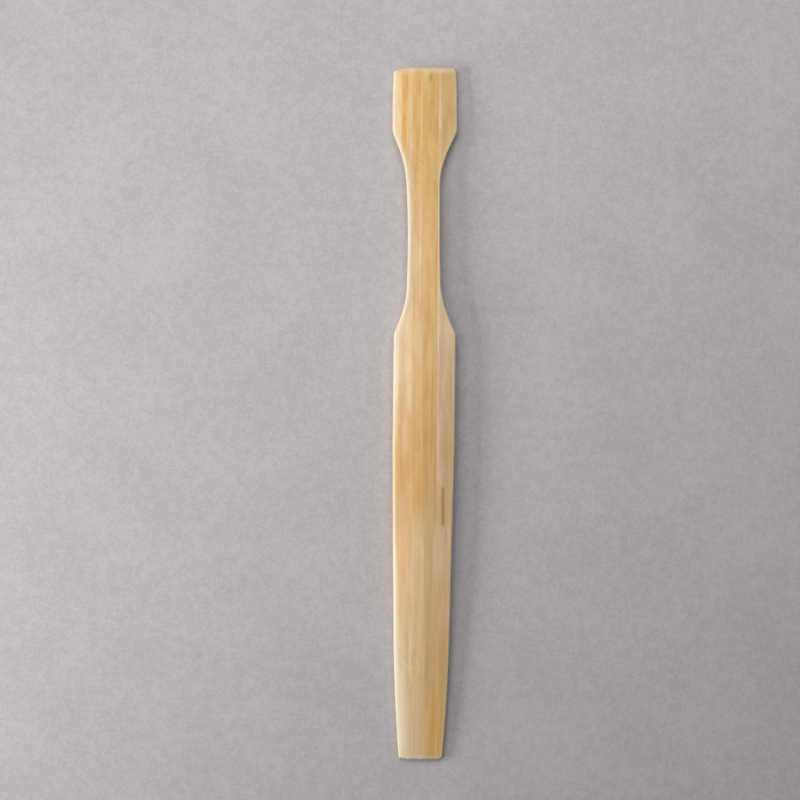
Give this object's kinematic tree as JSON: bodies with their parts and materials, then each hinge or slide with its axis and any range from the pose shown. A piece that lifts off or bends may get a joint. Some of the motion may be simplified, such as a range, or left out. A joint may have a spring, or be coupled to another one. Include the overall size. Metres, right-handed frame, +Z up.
{
  "type": "bone folder",
  "caption": "Flat bamboo bone folder, edge-glued from full-length strips, with a flared creasing head, a waisted neck and a long body that thins to a scoring end.",
  "frame": {"origin": "middle of the flat underside's bounding box, on the surface that the tool lies on", "axes": "+Y along the tool from its thin end to its flared head, +X across it to the right as seen from above with the head away, +Z up out of the top face"},
  "size_m": [0.0187, 0.2, 0.005],
  "materials": {
    "left_edge_bamboo": "hand-sanded pale bamboo, unvarnished, satin",
    "left_centre_bamboo": "hand-sanded golden bamboo, unvarnished, satin",
    "right_centre_bamboo": "hand-sanded olive-gold bamboo, unvarnished, satin",
    "right_edge_bamboo": "hand-sanded tan bamboo, unvarnished, satin"
  },
  "bodies": {
    "root": {"left_edge_strip": "left_edge_bamboo", "left_centre_strip": "left_centre_bamboo", "right_centre_strip": "right_centre_bamboo", "right_edge_strip": "right_edge_bamboo"}
  },
  "joints": []
}
